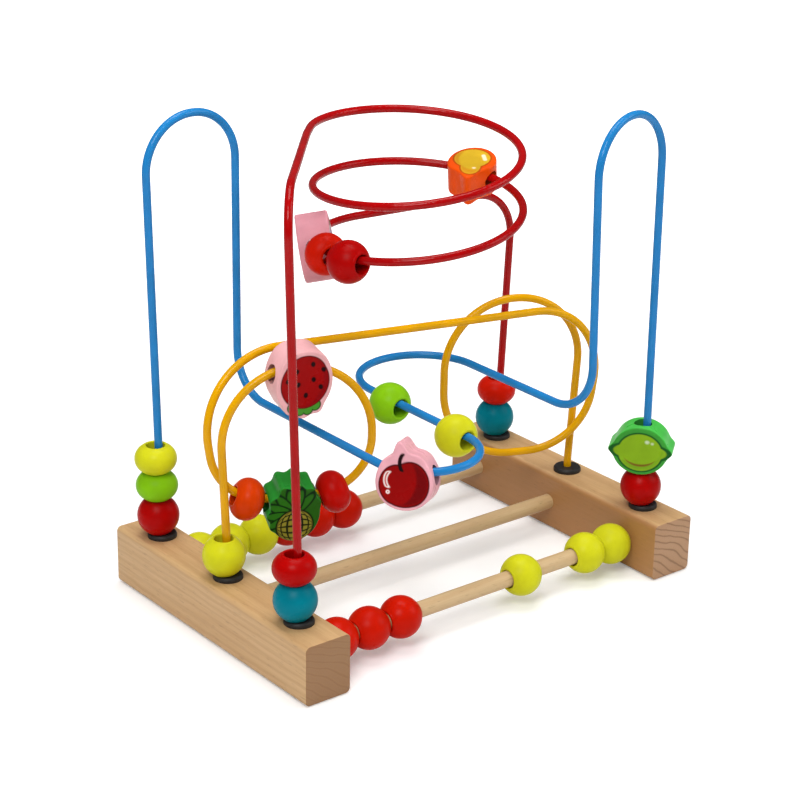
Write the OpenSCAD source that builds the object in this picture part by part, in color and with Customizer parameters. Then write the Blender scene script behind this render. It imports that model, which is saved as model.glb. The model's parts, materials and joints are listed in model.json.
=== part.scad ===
// Bead maze: two wooden side blocks, three dowels, three bent wires and loose beads.
// Units are millimetres, +Z is up and the blocks stand on Z = 0.
// X runs along the dowels, Y runs along the blocks.

/* [Side blocks] */
// Block width along the dowels
block_w = 25; // [22:0.5:32]
// Block length
block_l = 160; // [150:1:190]
// Block height
block_h = 30; // [28:0.5:36]
// Radius of the long block edges
block_edge = 2.5; // [1.5:0.5:4]
// Distance between the outer faces of the two blocks
span = 242; // [236:1:256]
// Distance between neighbouring wire holes along a block
hole_pitch = 57.5; // [54:0.5:60]
// Depth of the wire holes
hole_depth = 10; // [8:0.5:10.5]

/* [Dowels] */
// Dowel diameter
dowel_d = 8; // [7:0.1:8.4]
// Height of the dowel axis above the floor
dowel_z = 15; // [14:0.5:15.5]
// Depth of each dowel end in its block
dowel_depth = 10; // [8:0.5:10]

/* [Wires] */
// Wire diameter with its coating
wire_d = 4; // [3.6:0.1:4.2]
// Height of the two tall blue arches
arch_z = 240; // [225:1:255]
// Width of the blue arches
arch_w = 52.5; // [48:0.5:56]
// Height of the level blue run
run_z = 95; // [92:0.5:98]
// Diameter of the two yellow loops
loop_d = 75; // [73:0.5:77]
// Height of the top of the yellow loops
loop_top = 131.5; // [128:0.5:134]
// Height of the left yellow loop
left_loop_h = 66; // [64.5:0.5:69]
// Height of the right yellow loop
right_loop_h = 84.5; // [80:0.5:88]
// Radius of the bends at the bottom of the left loop
low_bend = 27; // [24:0.5:28]
// Radius of the red coil
coil_r = 50; // [47:0.5:53]
// Drop of the red coil in one turn
coil_pitch = 27.2; // [25:0.2:30]
// Height of the start of the red coil
coil_top = 232; // [226:1:238]

/* [Beads] */
// Diameter of balls and discs
bead_d = 20.8; // [20:0.1:21]
// Length of a ball along its bore
ball_len = 17.8; // [17.2:0.1:18]
// Length of a disc along its bore
disc_len = 14; // [13:0.1:14.2]
// Bore of balls and discs
bead_bore = 9.2; // [9:0.1:9.6]
// Thickness of the flat fruit beads
fruit_t = 16; // [14:0.5:17]
// Bore of the flat fruit beads
fruit_bore = 9.2; // [9:0.1:9.6]

/* [Grommets] */
// Diameter of the rubber rings round the wire ends
grommet_d = 14.5; // [13:0.5:16]
// Height of the rubber rings
grommet_h = 2.5; // [2:0.1:3]

/* [Fits] */
// Radial room of a dowel in its socket
dowel_fit = 0.05; // [0.03:0.01:0.1]
// Radial room of a wire in its hole
wire_fit = 0.2; // [0.15:0.05:0.3]
// Gap between a wire and the bore that hangs on it
hang_gap = 0.4; // [0.3:0.05:0.5]
// Gap left between beads that touch
touch = 0.15; // [0.1:0.05:0.2]

/* [Hidden] */
wire_r = wire_d / 2;
bead_r = bead_d / 2;
ball_half = ball_len / 2;
disc_half = disc_len / 2;
hole_x = (span - block_w) / 2;
inner_x = span / 2 - block_w;
socket_end = inner_x + dowel_depth;
wire_foot = block_h - hole_depth + 0.2;
lean_z = block_h + grommet_h + 5;
lean_r = 60;
seat_z = block_h + grommet_h + touch;
wire_sides = 12;
bend_step = 10;
u_flat = 0.6;
fruit_half = fruit_t / 2;
outline_n = 60;
$fn = 64;

// Bent wire geometry: straight runs between corner points, joined by circular bends.
function unit(v) = v / norm(v);
function to_prev(v, k) = unit(v[k - 1] - v[k]);
function to_next(v, k) = unit(v[k + 1] - v[k]);
function corner(v, k) = acos(to_prev(v, k) * to_next(v, k));
function cut(v, r, k) = r[k - 1] / tan(corner(v, k) / 2);
function centre(v, r, k) =
    v[k] + unit(to_prev(v, k) + to_next(v, k)) * r[k - 1] / sin(corner(v, k) / 2);
function radial(v, r, k) =
    (v[k] + to_prev(v, k) * cut(v, r, k) - centre(v, r, k)) / r[k - 1];
function bend_at(v, r, k, a) =
    centre(v, r, k) + r[k - 1] * (cos(a) * radial(v, r, k) - sin(a) * to_prev(v, k));
// A long bore sits a little inside its bend, so that the curved wire clears both ends
function bend_in(v, r, k, a, d) =
    bend_at(v, r, k, a) + d * unit(centre(v, r, k) - bend_at(v, r, k, a));
function bend_dir(v, r, k, a) = -sin(a) * radial(v, r, k) - cos(a) * to_prev(v, k);
function bend(v, r, k) =
    let (turn = 180 - corner(v, k), n = max(2, ceil(turn / bend_step)))
    [for (i = [0:n]) bend_at(v, r, k, turn * i / n)];
function wire_path(v, r) =
    concat([v[0]], [for (k = [1:len(v) - 2]) each bend(v, r, k)], [v[len(v) - 1]]);
// Radius of the two bends of a U-turn whose corners are k and k + 1
function u_turn(v, k) =
    (norm(v[k + 1] - v[k]) - u_flat)
    / (1 / tan(corner(v, k) / 2) + 1 / tan(corner(v, k + 1) / 2));
// Point of a leaning wire leg between two corner points at a given height
function at_z(a, b, z) = a + (b - a) * (z - a[2]) / (b[2] - a[2]);
// Both ends of a wire stand upright in their holes before the leg leans away
function foot(x, y) = [[x, y, wire_foot], [x, y, lean_z]];

// Section rings carried along a path without twist
function tangent(p, i) =
    unit((i == 0 ? p[1] - p[0] : unit(p[i] - p[i - 1]))
    + (i == len(p) - 1 ? unit(p[i] - p[i - 1]) : unit(p[i + 1] - p[i])));
function square_to(n, t) = unit(n - (n * t) * t);
function normals(p, i, n) =
    i == len(p) ? []
    : let (m = square_to(n, tangent(p, i))) concat([m], normals(p, i + 1, m));

module wire(p) {
    n = len(p);
    m = wire_sides;
    side = normals(p, 0, [0.6, 0.8, 0]);
    rings = [for (i = [0:n - 1])
        let (t = tangent(p, i), a = side[i], b = cross(t, a))
        each [for (j = [0:m - 1])
            p[i] + wire_r * (cos(360 * j / m) * a + sin(360 * j / m) * b)]];
    walls = [for (i = [0:n - 2], j = [0:m - 1])
        let (q = i * m + j, s = i * m + (j + 1) % m)
        each [[q, q + m, s], [s, q + m, s + m]]];
    ends = [[for (j = [0:m - 1]) j], [for (j = [m - 1:-1:0]) (n - 1) * m + j]];
    polyhedron(rings, concat(walls, ends));
}

// Blue wire: an arch at each end and a level zigzag between them.
blue_l = foot(-hole_x, hole_pitch);
blue_r = foot(hole_x, -hole_pitch);
blue_x = [-60, -6.5, 57];
blue_front = -78.5;
blue_back = 53;
blue_left_y = hole_pitch + 4;
blue_right_y = -hole_pitch - 12.5;
blue_v = [
    blue_l[0],
    blue_l[1],
    [blue_x[0] - arch_w, hole_pitch + 1, arch_z],
    [blue_x[0], blue_left_y, arch_z],
    [blue_x[0], blue_left_y, run_z],
    [blue_x[0], blue_front, run_z],
    [blue_x[1], blue_front, run_z],
    [blue_x[1], blue_back, run_z],
    [blue_x[2], blue_back, run_z],
    [blue_x[2], blue_right_y, run_z],
    [blue_x[2] - 1, blue_right_y + 3, arch_z],
    [blue_x[2] - 1.5 + arch_w, 1 - hole_pitch, arch_z],
    blue_r[1],
    blue_r[0]];
blue_rad = [
    lean_r, u_turn(blue_v, 2), u_turn(blue_v, 2), 22,
    u_turn(blue_v, 5), u_turn(blue_v, 5), u_turn(blue_v, 7), u_turn(blue_v, 7),
    26, u_turn(blue_v, 10), u_turn(blue_v, 10), lean_r];

// Yellow wire: a loop at each end and a slanting straight between them.
// The right loop is the left one turned half a turn about the middle.
loop_turn = 20.2;
loop_h = [cos(loop_turn), -sin(loop_turn), 0];
loop_n = [sin(loop_turn), cos(loop_turn), 0];
loop_low = loop_top - left_loop_h;
right_low = loop_top - right_loop_h;
loop_l = [-hole_x - 0.5, 5.9, 0];
loop_r = -loop_l;
up = [0, 0, 1];
yellow_l = foot(-hole_x, 0);
yellow_r = foot(hole_x, 0);
yellow_v = [
    yellow_l[0],
    yellow_l[1],
    loop_l + up * loop_top,
    loop_l + loop_d * loop_h + up * loop_top,
    loop_l + loop_d * loop_h + up * loop_low,
    loop_l + 2.3 * loop_n + up * loop_low,
    [-hole_x - 6.5, 17, loop_top + 6.3],
    [hole_x + 6.5, -17, loop_top - 3.8],
    loop_r - 2.5 * loop_n + 2 * loop_h + up * right_low,
    loop_r - loop_d * loop_h + up * right_low,
    loop_r - loop_d * loop_h + up * loop_top,
    loop_r + up * loop_top,
    yellow_r[1],
    yellow_r[0]];
loop_rad = u_turn(yellow_v, 2);
// A bottom bend has only the room that the bend above it leaves
low_rad = min(low_bend, left_loop_h - loop_rad - u_flat);
yellow_rad = [
    lean_r, loop_rad, loop_rad, low_rad, low_rad, 38,
    42, 34, loop_rad, loop_rad, loop_rad, lean_r];

// Red wire: an inward arm, a hanging coil and an outward arm.
coil_start = 137;
coil_mid = [1.5, 1];
coil_drift = [2.5, 0.8];
coil_tilt = [3, 1.3];
red_l = foot(-hole_x, -hole_pitch);
red_r = foot(hole_x, hole_pitch);
red_out = [hole_x + 3, hole_pitch - 3, coil_top - 2.2 * coil_pitch - 1.5];
coil_low = coil_mid + 2 * coil_drift;
coil_to = [red_out[0], red_out[1]] - coil_low;
coil_end = atan2(coil_to[1], coil_to[0]) + acos(coil_r / norm(coil_to)) - 720;
function coil_turns(a) = (coil_start - a) / 360;
function coil_at(a) =
    let (k = coil_turns(a), c = coil_mid + k * coil_drift)
    [c[0] + coil_r * cos(a), c[1] + coil_r * sin(a),
     coil_top - coil_pitch * k + coil_tilt[0] * cos(a) + coil_tilt[1] * sin(a)];
function coil_dir(a) = unit(coil_at(a - 0.5) - coil_at(a + 0.5));
coil_n = ceil((coil_start - coil_end) / bend_step);
coil_path = [for (i = [0:coil_n]) coil_at(coil_start + (coil_end - coil_start) * i / coil_n)];
red_head = [
    red_l[0],
    red_l[1],
    [-hole_x - 4, 3 - hole_pitch, coil_top + 1],
    coil_at(coil_start) - 12.5 * coil_dir(coil_start),
    coil_at(coil_start)];
red_tail = [coil_at(coil_end), red_out, red_r[1], red_r[0]];
red_head_path = wire_path(red_head, [lean_r, 21, 12]);
red_tail_path = wire_path(red_tail, [26, lean_r]);
red_path = concat(
    [for (i = [0:len(red_head_path) - 2]) red_head_path[i]],
    coil_path,
    [for (i = [1:len(red_tail_path) - 1]) red_tail_path[i]]);

// Bead forms, each with its bore along Z for balls and discs, along X for fruits.
module ball() {
    rotate_extrude()
        intersection() {
            circle(bead_r);
            translate([bead_bore / 2, -ball_half]) square([bead_r, ball_len]);
        }
}

module disc() {
    round_r = disc_half + 0.25;
    rotate_extrude()
        intersection() {
            translate([bead_r - round_r, 0]) circle(round_r);
            translate([bead_bore / 2, -disc_half]) square([bead_r, disc_len]);
        }
}

// Outline in polar form: half sizes and bumps given as [angle, height, width]
function bump(a, b) =
    let (d = abs(a - b[0]), e = min(d, 360 - d)) b[1] * exp(-pow(e / b[2], 2));
function swell(a, b, i = 0) = i == len(b) ? 0 : bump(a, b[i]) + swell(a, b, i + 1);
function outline(half, bumps) =
    [for (i = [0:outline_n - 1])
        let (a = 360 * i / outline_n, f = 1 + swell(a, bumps))
        [half[0] * f * cos(a), half[1] * f * sin(a)]];

module fruit(half, bumps, drop) {
    difference() {
        translate([0, -drop, -fruit_half])
            linear_extrude(fruit_t) polygon(outline(half, bumps));
        rotate([0, 90, 0]) cylinder(d = fruit_bore, h = 6 * fruit_t, center = true);
    }
}

apple_half = [13.6, 13.2];
apple_bumps = [[101, 0.42, 11], [62, 0.07, 20], [135, 0.05, 16], [225, 0.03, 30], [315, 0.03, 30]];
berry_half = [14.2, 16.3];
berry_bumps = [[55, 0.05, 25], [125, 0.05, 25], [238, 0.08, 12], [270, 0.10, 13], [302, 0.12, 12]];
pine_half = [12.2, 15];
pine_bumps = [[22, 0.10, 10], [52, 0.16, 11], [84, 0.14, 11], [118, 0.18, 11], [150, 0.16, 11],
    [180, 0.14, 10], [206, 0.10, 9]];
pear_half = [11.8, 13];
pear_bumps = [[115, 0.02, 40], [257, -0.08, 16], [333, -0.08, 16], [295, 0.32, 13]];
lime_half = [14, 12.8];
lime_bumps = [[0, 0.16, 11], [180, 0.16, 11]];
plum_half = [13, 15.8];
plum_bumps = [[90, 0.16, 12], [60, 0.03, 20], [120, 0.03, 20]];

// Carry a form with its bore along Z, or along X, to a point and a wire direction
module thread_z(p, d) {
    translate(p) rotate([0, acos(d[2]), atan2(d[1], d[0])]) children();
}

module thread_x(p, d, roll) {
    translate(p) rotate([roll, -asin(d[2]), atan2(d[1], d[0])]) children();
}

// Direction turned about the upright axis
function swing(d, a) = [d[0] * cos(a) - d[1] * sin(a), d[0] * sin(a) + d[1] * cos(a), d[2]];

hang_bead = [0, 0, -(bead_bore / 2 - wire_r - hang_gap)];
hang_dowel = [0, 0, -(bead_bore / 2 - dowel_d / 2 - 0.3)];

// Heights of beads stacked on the upright legs
ball_z = seat_z + ball_half;
disc_on_ball = ball_z + ball_half + touch + disc_half;
disc_on_disc = disc_on_ball + disc_len + touch;
lime_on_ball = ball_z + ball_half + touch + lime_half[1];

// A bead on a leg leans on one side of its wire
stack_shift = [-1.3, 1, 0];
module stack_ball(v, k, z) translate(at_z(v[k], v[k + 1], z) + stack_shift) ball();
module stack_disc(v, k, z) translate(at_z(v[k], v[k + 1], z) + stack_shift) disc();

// Side blocks and dowels
module block() {
    difference() {
        translate([0, 0, block_h / 2]) rotate([90, 0, 0])
            linear_extrude(block_l, center = true)
                union() {
                    square([block_w - 2 * block_edge, block_h], center = true);
                    square([block_w, block_h - 2 * block_edge], center = true);
                    for (x = [-1, 1], z = [-1, 1])
                        translate([x * (block_w / 2 - block_edge), z * (block_h / 2 - block_edge)])
                            circle(block_edge);
                }
        for (i = [-1:1]) {
            translate([0, i * hole_pitch, block_h - hole_depth])
                cylinder(r = wire_r + wire_fit, h = hole_depth + 1);
            translate([-block_w / 2 - 1, i * hole_pitch, dowel_z])
                rotate([0, 90, 0])
                    cylinder(r = dowel_d / 2 + dowel_fit, h = dowel_depth + 1);
        }
    }
}

module block_right() color("tan") translate([hole_x, 0, 0]) block();
module block_left() color("tan") mirror([1, 0, 0]) translate([hole_x, 0, 0]) block();

module dowel(i) {
    color("burlywood") translate([0, i * hole_pitch, dowel_z]) rotate([0, 90, 0])
        cylinder(d = dowel_d, h = 2 * socket_end - 0.4, center = true);
}

module dowel_front() dowel(-1);
module dowel_middle() dowel(0);
module dowel_rear() dowel(1);

// Rubber rings
module grommet(x, y) {
    edge = grommet_h * 0.6;
    color("black") translate([x, y, block_h])
        rotate_extrude()
            union() {
                translate([wire_r + wire_fit, 0])
                    square([grommet_d / 2 - edge - wire_r - wire_fit, grommet_h]);
                translate([grommet_d / 2 - edge - 1, 0]) square([edge + 1, grommet_h - edge]);
                intersection() {
                    translate([grommet_d / 2 - edge, grommet_h - edge]) circle(edge);
                    translate([grommet_d / 2 - edge - 0.5, 0]) square([edge + 1, grommet_h]);
                }
            }
}

module grommet_left_back() grommet(-hole_x, hole_pitch);
module grommet_left_middle() grommet(-hole_x, 0);
module grommet_left_front() grommet(-hole_x, -hole_pitch);
module grommet_right_back() grommet(hole_x, hole_pitch);
module grommet_right_middle() grommet(hole_x, 0);
module grommet_right_front() grommet(hole_x, -hole_pitch);

// Wires
module wire_blue() color("royalblue") wire(wire_path(blue_v, blue_rad));
module wire_yellow() color("goldenrod") wire(wire_path(yellow_v, yellow_rad));
module wire_red() color("firebrick") wire(red_path);

// Beads stacked on the wire legs
blue_last = len(blue_v) - 3;
module left_back_red_ball() color("red") stack_ball(blue_v, 1, ball_z);
module left_back_green_disc() color("green") stack_disc(blue_v, 1, disc_on_ball);
module left_back_yellow_disc() color("yellow") stack_disc(blue_v, 1, disc_on_disc);
module left_middle_yellow_ball() color("yellow") stack_ball(yellow_v, 1, ball_z);
module left_front_teal_ball() color("teal") stack_ball(red_head, 1, ball_z);
module left_front_red_disc() color("red") stack_disc(red_head, 1, disc_on_ball);
module right_back_teal_ball() color("teal") stack_ball(red_tail, 1, ball_z);
module right_back_orange_disc() color("orangered") stack_disc(red_tail, 1, disc_on_ball);
module right_front_red_ball() color("red") stack_ball(blue_v, blue_last, ball_z);
lime_face = 51;
lime_shift = [-1.7, 1.3, 0];
module right_front_lime() {
    color("limegreen")
        translate(at_z(blue_v[blue_last], blue_v[blue_last + 1], lime_on_ball) + lime_shift)
            rotate([90, 0, -lime_face]) rotate([0, 0, 90])
                fruit([lime_half[1], lime_half[0]],
                    [for (b = lime_bumps) [b[0] + 90, b[1], b[2]]], 0);
}

// Beads on the level blue run
apple_turn = 36.5;
apple_in = 1.9;
apple_hang = 1;
yellow_run_y = -44;
green_run_y = 7;
run_dir = [0, 1, 0];
module run_apple() {
    color("pink")
        thread_x(bend_in(blue_v, blue_rad, 5, apple_turn, apple_in) - [0, 0, apple_hang],
            bend_dir(blue_v, blue_rad, 5, apple_turn), 78)
            fruit(apple_half, apple_bumps, 3.5);
}
module run_yellow_ball() {
    color("yellow") thread_z([blue_x[1], yellow_run_y, run_z] + hang_bead, run_dir) ball();
}
module run_green_ball() {
    color("yellowgreen") thread_z([blue_x[1], green_run_y, run_z] + hang_bead, run_dir) ball();
}

// Beads on the left yellow loop
berry_turn = 1;
berry_swing = 7;
berry_hang = 2;
berry_way = bend_dir(yellow_v, yellow_rad, 3, berry_turn);
module loop_strawberry() {
    color("pink")
        thread_x(bend_at(yellow_v, yellow_rad, 3, berry_turn) - berry_hang * up,
            swing(berry_way, berry_swing), 94)
            fruit(berry_half, berry_bumps, 3.5);
}

// The pineapple hangs in the middle of the straight loop bottom, with a disc on each side
low_ends = [
    yellow_v[4] + to_next(yellow_v, 4) * cut(yellow_v, yellow_rad, 4),
    yellow_v[5] + to_prev(yellow_v, 5) * cut(yellow_v, yellow_rad, 5)];
low_half = norm(low_ends[1] - low_ends[0]) / 2;
pine_at = (low_ends[0] + low_ends[1]) / 2;
pine_dir = unit(low_ends[0] - low_ends[1]);
pine_hang = 2;
disc_gap = 1.2;
low_hang = 1.2;
red_way = pine_half[0] * (1 + swell(0, pine_bumps)) + disc_gap + disc_half;
orange_way = pine_half[0] * (1 + swell(180, pine_bumps)) + disc_gap + disc_half;
// A disc sits on the bend where its way is longer than the straight, or else on the straight
function low_turn(way) = max(0, way - low_half) / low_rad * 180 / PI;
function low_back(way) = max(0, low_half - way);
red_turn = 180 - corner(yellow_v, 4) - low_turn(red_way);
red_dir = bend_dir(yellow_v, yellow_rad, 4, red_turn);
orange_turn = low_turn(orange_way);
orange_dir = bend_dir(yellow_v, yellow_rad, 5, orange_turn);
module loop_red_disc() {
    color("firebrick")
        thread_z(bend_at(yellow_v, yellow_rad, 4, red_turn) + low_back(red_way) * red_dir
            - low_hang * up, red_dir)
            disc();
}
module loop_pineapple() {
    color("forestgreen") thread_x(pine_at - pine_hang * up, pine_dir, 100)
        fruit(pine_half, pine_bumps, 3.8);
}
module loop_orange_disc() {
    color("orangered")
        thread_z(bend_at(yellow_v, yellow_rad, 5, orange_turn) - low_back(orange_way) * orange_dir
            - low_hang * up, orange_dir)
            disc();
}

// Beads on the red coil
pear_a = -341;
coil_red_a = -530;
coil_orange_a = -550.6;
plum_a = -577;
coil_hang = [0, 0, -1.8];
module coil_pear() {
    color("darkorange") thread_x(coil_at(pear_a) + [0, 0, -1.6], coil_dir(pear_a), 14)
        fruit(pear_half, pear_bumps, 0);
}
module coil_red_ball() {
    color("red") thread_z(coil_at(coil_red_a) + coil_hang, coil_dir(coil_red_a)) ball();
}
module coil_orange_disc() {
    color("orangered") thread_z(coil_at(coil_orange_a) + coil_hang, coil_dir(coil_orange_a)) disc();
}
module coil_plum() {
    color("pink") thread_x(coil_at(plum_a) + [0, 0, -1.6], coil_dir(plum_a), 80)
        fruit(plum_half, plum_bumps, 4);
}

// Beads on the dowels, counted from the left
dowel_dir = [1, 0, 0];
bead_step = ball_len + touch;
dowel_first = -inner_x + touch + ball_half;
front_red_x = [dowel_first, dowel_first + bead_step + 0.8, dowel_first + 2 * bead_step + 1.8];
front_yellow_x = [26.5, -dowel_first - bead_step, -dowel_first];
module on_dowel(i, x) {
    thread_z([x, i * hole_pitch, dowel_z] + hang_dowel, dowel_dir) ball();
}
module front_red_1() color("orangered") on_dowel(-1, front_red_x[0]);
module front_red_2() color("orangered") on_dowel(-1, front_red_x[1]);
module front_red_3() color("orangered") on_dowel(-1, front_red_x[2]);
module front_yellow_1() color("yellow") on_dowel(-1, front_yellow_x[0]);
module front_yellow_2() color("yellow") on_dowel(-1, front_yellow_x[1]);
module front_yellow_3() color("yellow") on_dowel(-1, front_yellow_x[2]);
module rear_yellow_1() color("yellow") on_dowel(1, dowel_first);
module rear_yellow_2() color("yellow") on_dowel(1, dowel_first + bead_step);
module rear_yellow_3() color("yellow") on_dowel(1, dowel_first + 2 * bead_step);
module rear_red_1() color("orangered") on_dowel(1, dowel_first + 3 * bead_step);
module rear_red_2() color("orangered") on_dowel(1, dowel_first + 4 * bead_step);
module rear_red_3() color("orangered") on_dowel(1, dowel_first + 5 * bead_step);

block_left();
block_right();
dowel_front();
dowel_middle();
dowel_rear();
wire_blue();
wire_yellow();
wire_red();
grommet_left_back();
grommet_left_middle();
grommet_left_front();
grommet_right_back();
grommet_right_middle();
grommet_right_front();
left_back_red_ball();
left_back_green_disc();
left_back_yellow_disc();
left_middle_yellow_ball();
left_front_teal_ball();
left_front_red_disc();
right_back_teal_ball();
right_back_orange_disc();
right_front_red_ball();
right_front_lime();
run_apple();
run_yellow_ball();
run_green_ball();
loop_strawberry();
loop_red_disc();
loop_pineapple();
loop_orange_disc();
coil_pear();
coil_red_ball();
coil_orange_disc();
coil_plum();
front_red_1();
front_red_2();
front_red_3();
front_yellow_1();
front_yellow_2();
front_yellow_3();
rear_yellow_1();
rear_yellow_2();
rear_yellow_3();
rear_red_1();
rear_red_2();
rear_red_3();
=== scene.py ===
# %% [markdown]
# # A wooden bead maze
# This lesson dresses a bead maze: two wooden blocks, three dowels, three coated wires and 33 beads.
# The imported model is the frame. It fixes every place and every motion, so the lesson only adds
# smoother surfaces and finishes, and each new piece rides on the body of the solid that it stands for.

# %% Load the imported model
import json

import bmesh
import bpy
import numpy as np
from mathutils import Matrix, Vector

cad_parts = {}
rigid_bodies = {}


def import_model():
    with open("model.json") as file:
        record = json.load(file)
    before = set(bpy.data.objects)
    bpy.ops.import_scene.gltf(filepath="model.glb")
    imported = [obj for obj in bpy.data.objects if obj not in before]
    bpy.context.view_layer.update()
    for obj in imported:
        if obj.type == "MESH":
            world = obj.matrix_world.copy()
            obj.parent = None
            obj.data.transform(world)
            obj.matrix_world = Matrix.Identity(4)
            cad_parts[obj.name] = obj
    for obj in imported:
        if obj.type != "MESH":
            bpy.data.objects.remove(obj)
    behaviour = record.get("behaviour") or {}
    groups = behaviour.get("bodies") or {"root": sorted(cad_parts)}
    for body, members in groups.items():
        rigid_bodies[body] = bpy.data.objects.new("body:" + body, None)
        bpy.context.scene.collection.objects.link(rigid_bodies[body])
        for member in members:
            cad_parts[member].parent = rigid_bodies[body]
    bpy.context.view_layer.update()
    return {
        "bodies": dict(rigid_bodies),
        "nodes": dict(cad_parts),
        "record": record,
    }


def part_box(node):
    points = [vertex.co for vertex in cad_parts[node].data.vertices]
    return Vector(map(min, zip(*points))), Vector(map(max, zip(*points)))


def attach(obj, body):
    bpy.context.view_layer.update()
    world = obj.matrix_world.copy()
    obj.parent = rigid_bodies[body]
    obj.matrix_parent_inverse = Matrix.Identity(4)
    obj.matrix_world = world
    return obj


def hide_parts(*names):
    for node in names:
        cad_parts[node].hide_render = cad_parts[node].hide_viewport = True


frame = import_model()
slot_of = {part["node"]: part["material_slot"] for part in frame["record"]["subparts"]}

# %% [markdown]
# ## Turning arrays into pieces
# A surface is a grid of points, so its faces are four-sided and follow from the row and column
# numbers alone. One helper writes the faces, and another makes the mesh, shades it smooth and lets
# it ride on its body. The points are in millimetres until the last moment, as on a drawing.

# %% Mesh helpers
MM = 0.001


def quads(rows, cols):
    """Faces of a grid whose last column joins the first: each joins two rows and two columns."""
    i = np.arange(rows - 1)[:, None]
    j = np.arange(cols)[None, :]
    k = (j + 1) % cols
    faces = np.stack([i * cols + j, i * cols + k, (i + 1) * cols + k, (i + 1) * cols + j], -1)
    return faces.reshape(-1, 4)


def fan(ring, tip):
    """Triangles that close a ring of point numbers at one tip point."""
    return np.stack([ring, np.roll(ring, -1), np.full(len(ring), tip)], -1)


def make_piece(name, points, faces, node, body, finish, tint=None):
    """A smooth mesh from points in millimetres, riding on a body in place of its CAD node.

    tint gives each point a linear colour, and may add a fourth value that a finish can use."""
    mesh = bpy.data.meshes.new(name)
    mesh.from_pydata((np.asarray(points) * MM).tolist(), [], [list(f) for f in faces])
    if tint is not None:
        layer = mesh.color_attributes.new("tint", "FLOAT_COLOR", "POINT")
        colours = np.ones((len(points), 4), np.float32)
        colours[:, :np.shape(tint)[1]] = tint
        layer.data.foreach_set("color", colours.ravel())
    shell = bmesh.new()
    shell.from_mesh(mesh)
    bmesh.ops.recalc_face_normals(shell, faces=shell.faces)
    shell.to_mesh(mesh)
    shell.free()
    mesh.polygons.foreach_set("use_smooth", np.ones(len(mesh.polygons), bool))
    mesh.materials.append(finish)
    piece = bpy.data.objects.new(name, mesh)
    bpy.context.scene.collection.objects.link(piece)
    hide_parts(node)
    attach(piece, body)


# %% [markdown]
# ## Colours and shared effects
# Colours are written as they look on a screen and turned into linear light. Three effects are used by
# more than one finish, so each is a node group: the unevenness of dipped paint, the grain of planed
# wood, and the fine ripple of a plastic coat on wire.

# %% Colour and node helpers


def srgb(*rgb):
    """Screen values from 0 to 255 as linear light: the standard curve, with its straight foot."""
    c = np.array(rgb, float) / 255
    return np.where(c <= 0.04045, c / 12.92, ((c + 0.055) / 1.055) ** 2.4)


def rgba(*rgb):
    """The same colour with full opacity, as sockets want it."""
    return [*srgb(*rgb), 1.0]


def group(name, inputs, outputs):
    """An empty shader node group with named sockets; inputs maps a name to its kind and value."""
    tree = bpy.data.node_groups.new(name, "ShaderNodeTree")
    for key, (kind, value) in inputs.items():
        socket = tree.interface.new_socket(key, in_out="INPUT", socket_type=kind)
        socket.default_value = value
    for key, kind in outputs.items():
        tree.interface.new_socket(key, in_out="OUTPUT", socket_type=kind)
    return tree, tree.nodes.new("NodeGroupInput"), tree.nodes.new("NodeGroupOutput")


def noise(tree, vector, scale, detail=2.0, stretch=None):
    """A noise texture on a vector, which stretch may scale along each axis first."""
    if stretch:
        mapping = tree.nodes.new("ShaderNodeMapping")
        mapping.inputs["Scale"].default_value = stretch
        tree.links.new(vector, mapping.inputs["Vector"])
        vector = mapping.outputs["Vector"]
    node = tree.nodes.new("ShaderNodeTexNoise")
    node.inputs["Scale"].default_value = scale
    node.inputs["Detail"].default_value = detail
    tree.links.new(vector, node.inputs["Vector"])
    return node.outputs["Fac"]


def remap(tree, value, low, high, to_low, to_high):
    """Carries a value from one range to another and clamps it."""
    node = tree.nodes.new("ShaderNodeMapRange")
    for key, number in (("From Min", low), ("From Max", high), ("To Min", to_low), ("To Max", to_high)):
        node.inputs[key].default_value = number
    tree.links.new(value, node.inputs["Value"])
    return node.outputs["Result"]


def mix(tree, factor, one, two, blend="MIX"):
    """Mixes two colours, each a socket or a fixed colour, by a factor, a socket or a number.

    On a Mix node the colours are inputs 6 and 7 and output 2."""
    node = tree.nodes.new("ShaderNodeMix")
    node.data_type = "RGBA"
    node.blend_type = blend
    for key, value in ((0, factor), (6, one), (7, two)):
        if isinstance(value, bpy.types.NodeSocket):
            tree.links.new(value, node.inputs[key])
        else:
            node.inputs[key].default_value = value
    return node.outputs[2]


def math(tree, operation, one, two):
    """One arithmetic node; each side is a socket or a number."""
    node = tree.nodes.new("ShaderNodeMath")
    node.operation = operation
    for key, value in ((0, one), (1, two)):
        if isinstance(value, bpy.types.NodeSocket):
            tree.links.new(value, node.inputs[key])
        else:
            node.inputs[key].default_value = value
    return node.outputs[0]


# %% Dipped paint, planed wood and wire coat as node groups
COLOR, VECTOR, FLOAT = "NodeSocketColor", "NodeSocketVector", "NodeSocketFloat"
BLACK, WHITE = (0, 0, 0, 1), (1, 1, 1, 1)
THICK_PAINT, THICK_COAT = (0.25, 0.2, 0.2, 1), (0.3, 0.3, 0.3, 1)
WARM_PATCH, OPEN_PORE, LATE_WOOD = (0.72, 0.5, 0.26, 1), (0.2, 0.1, 0.04, 1), rgba(96, 62, 40)
RING_SWAY = (0.012, 0.0, 0.012)


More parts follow.
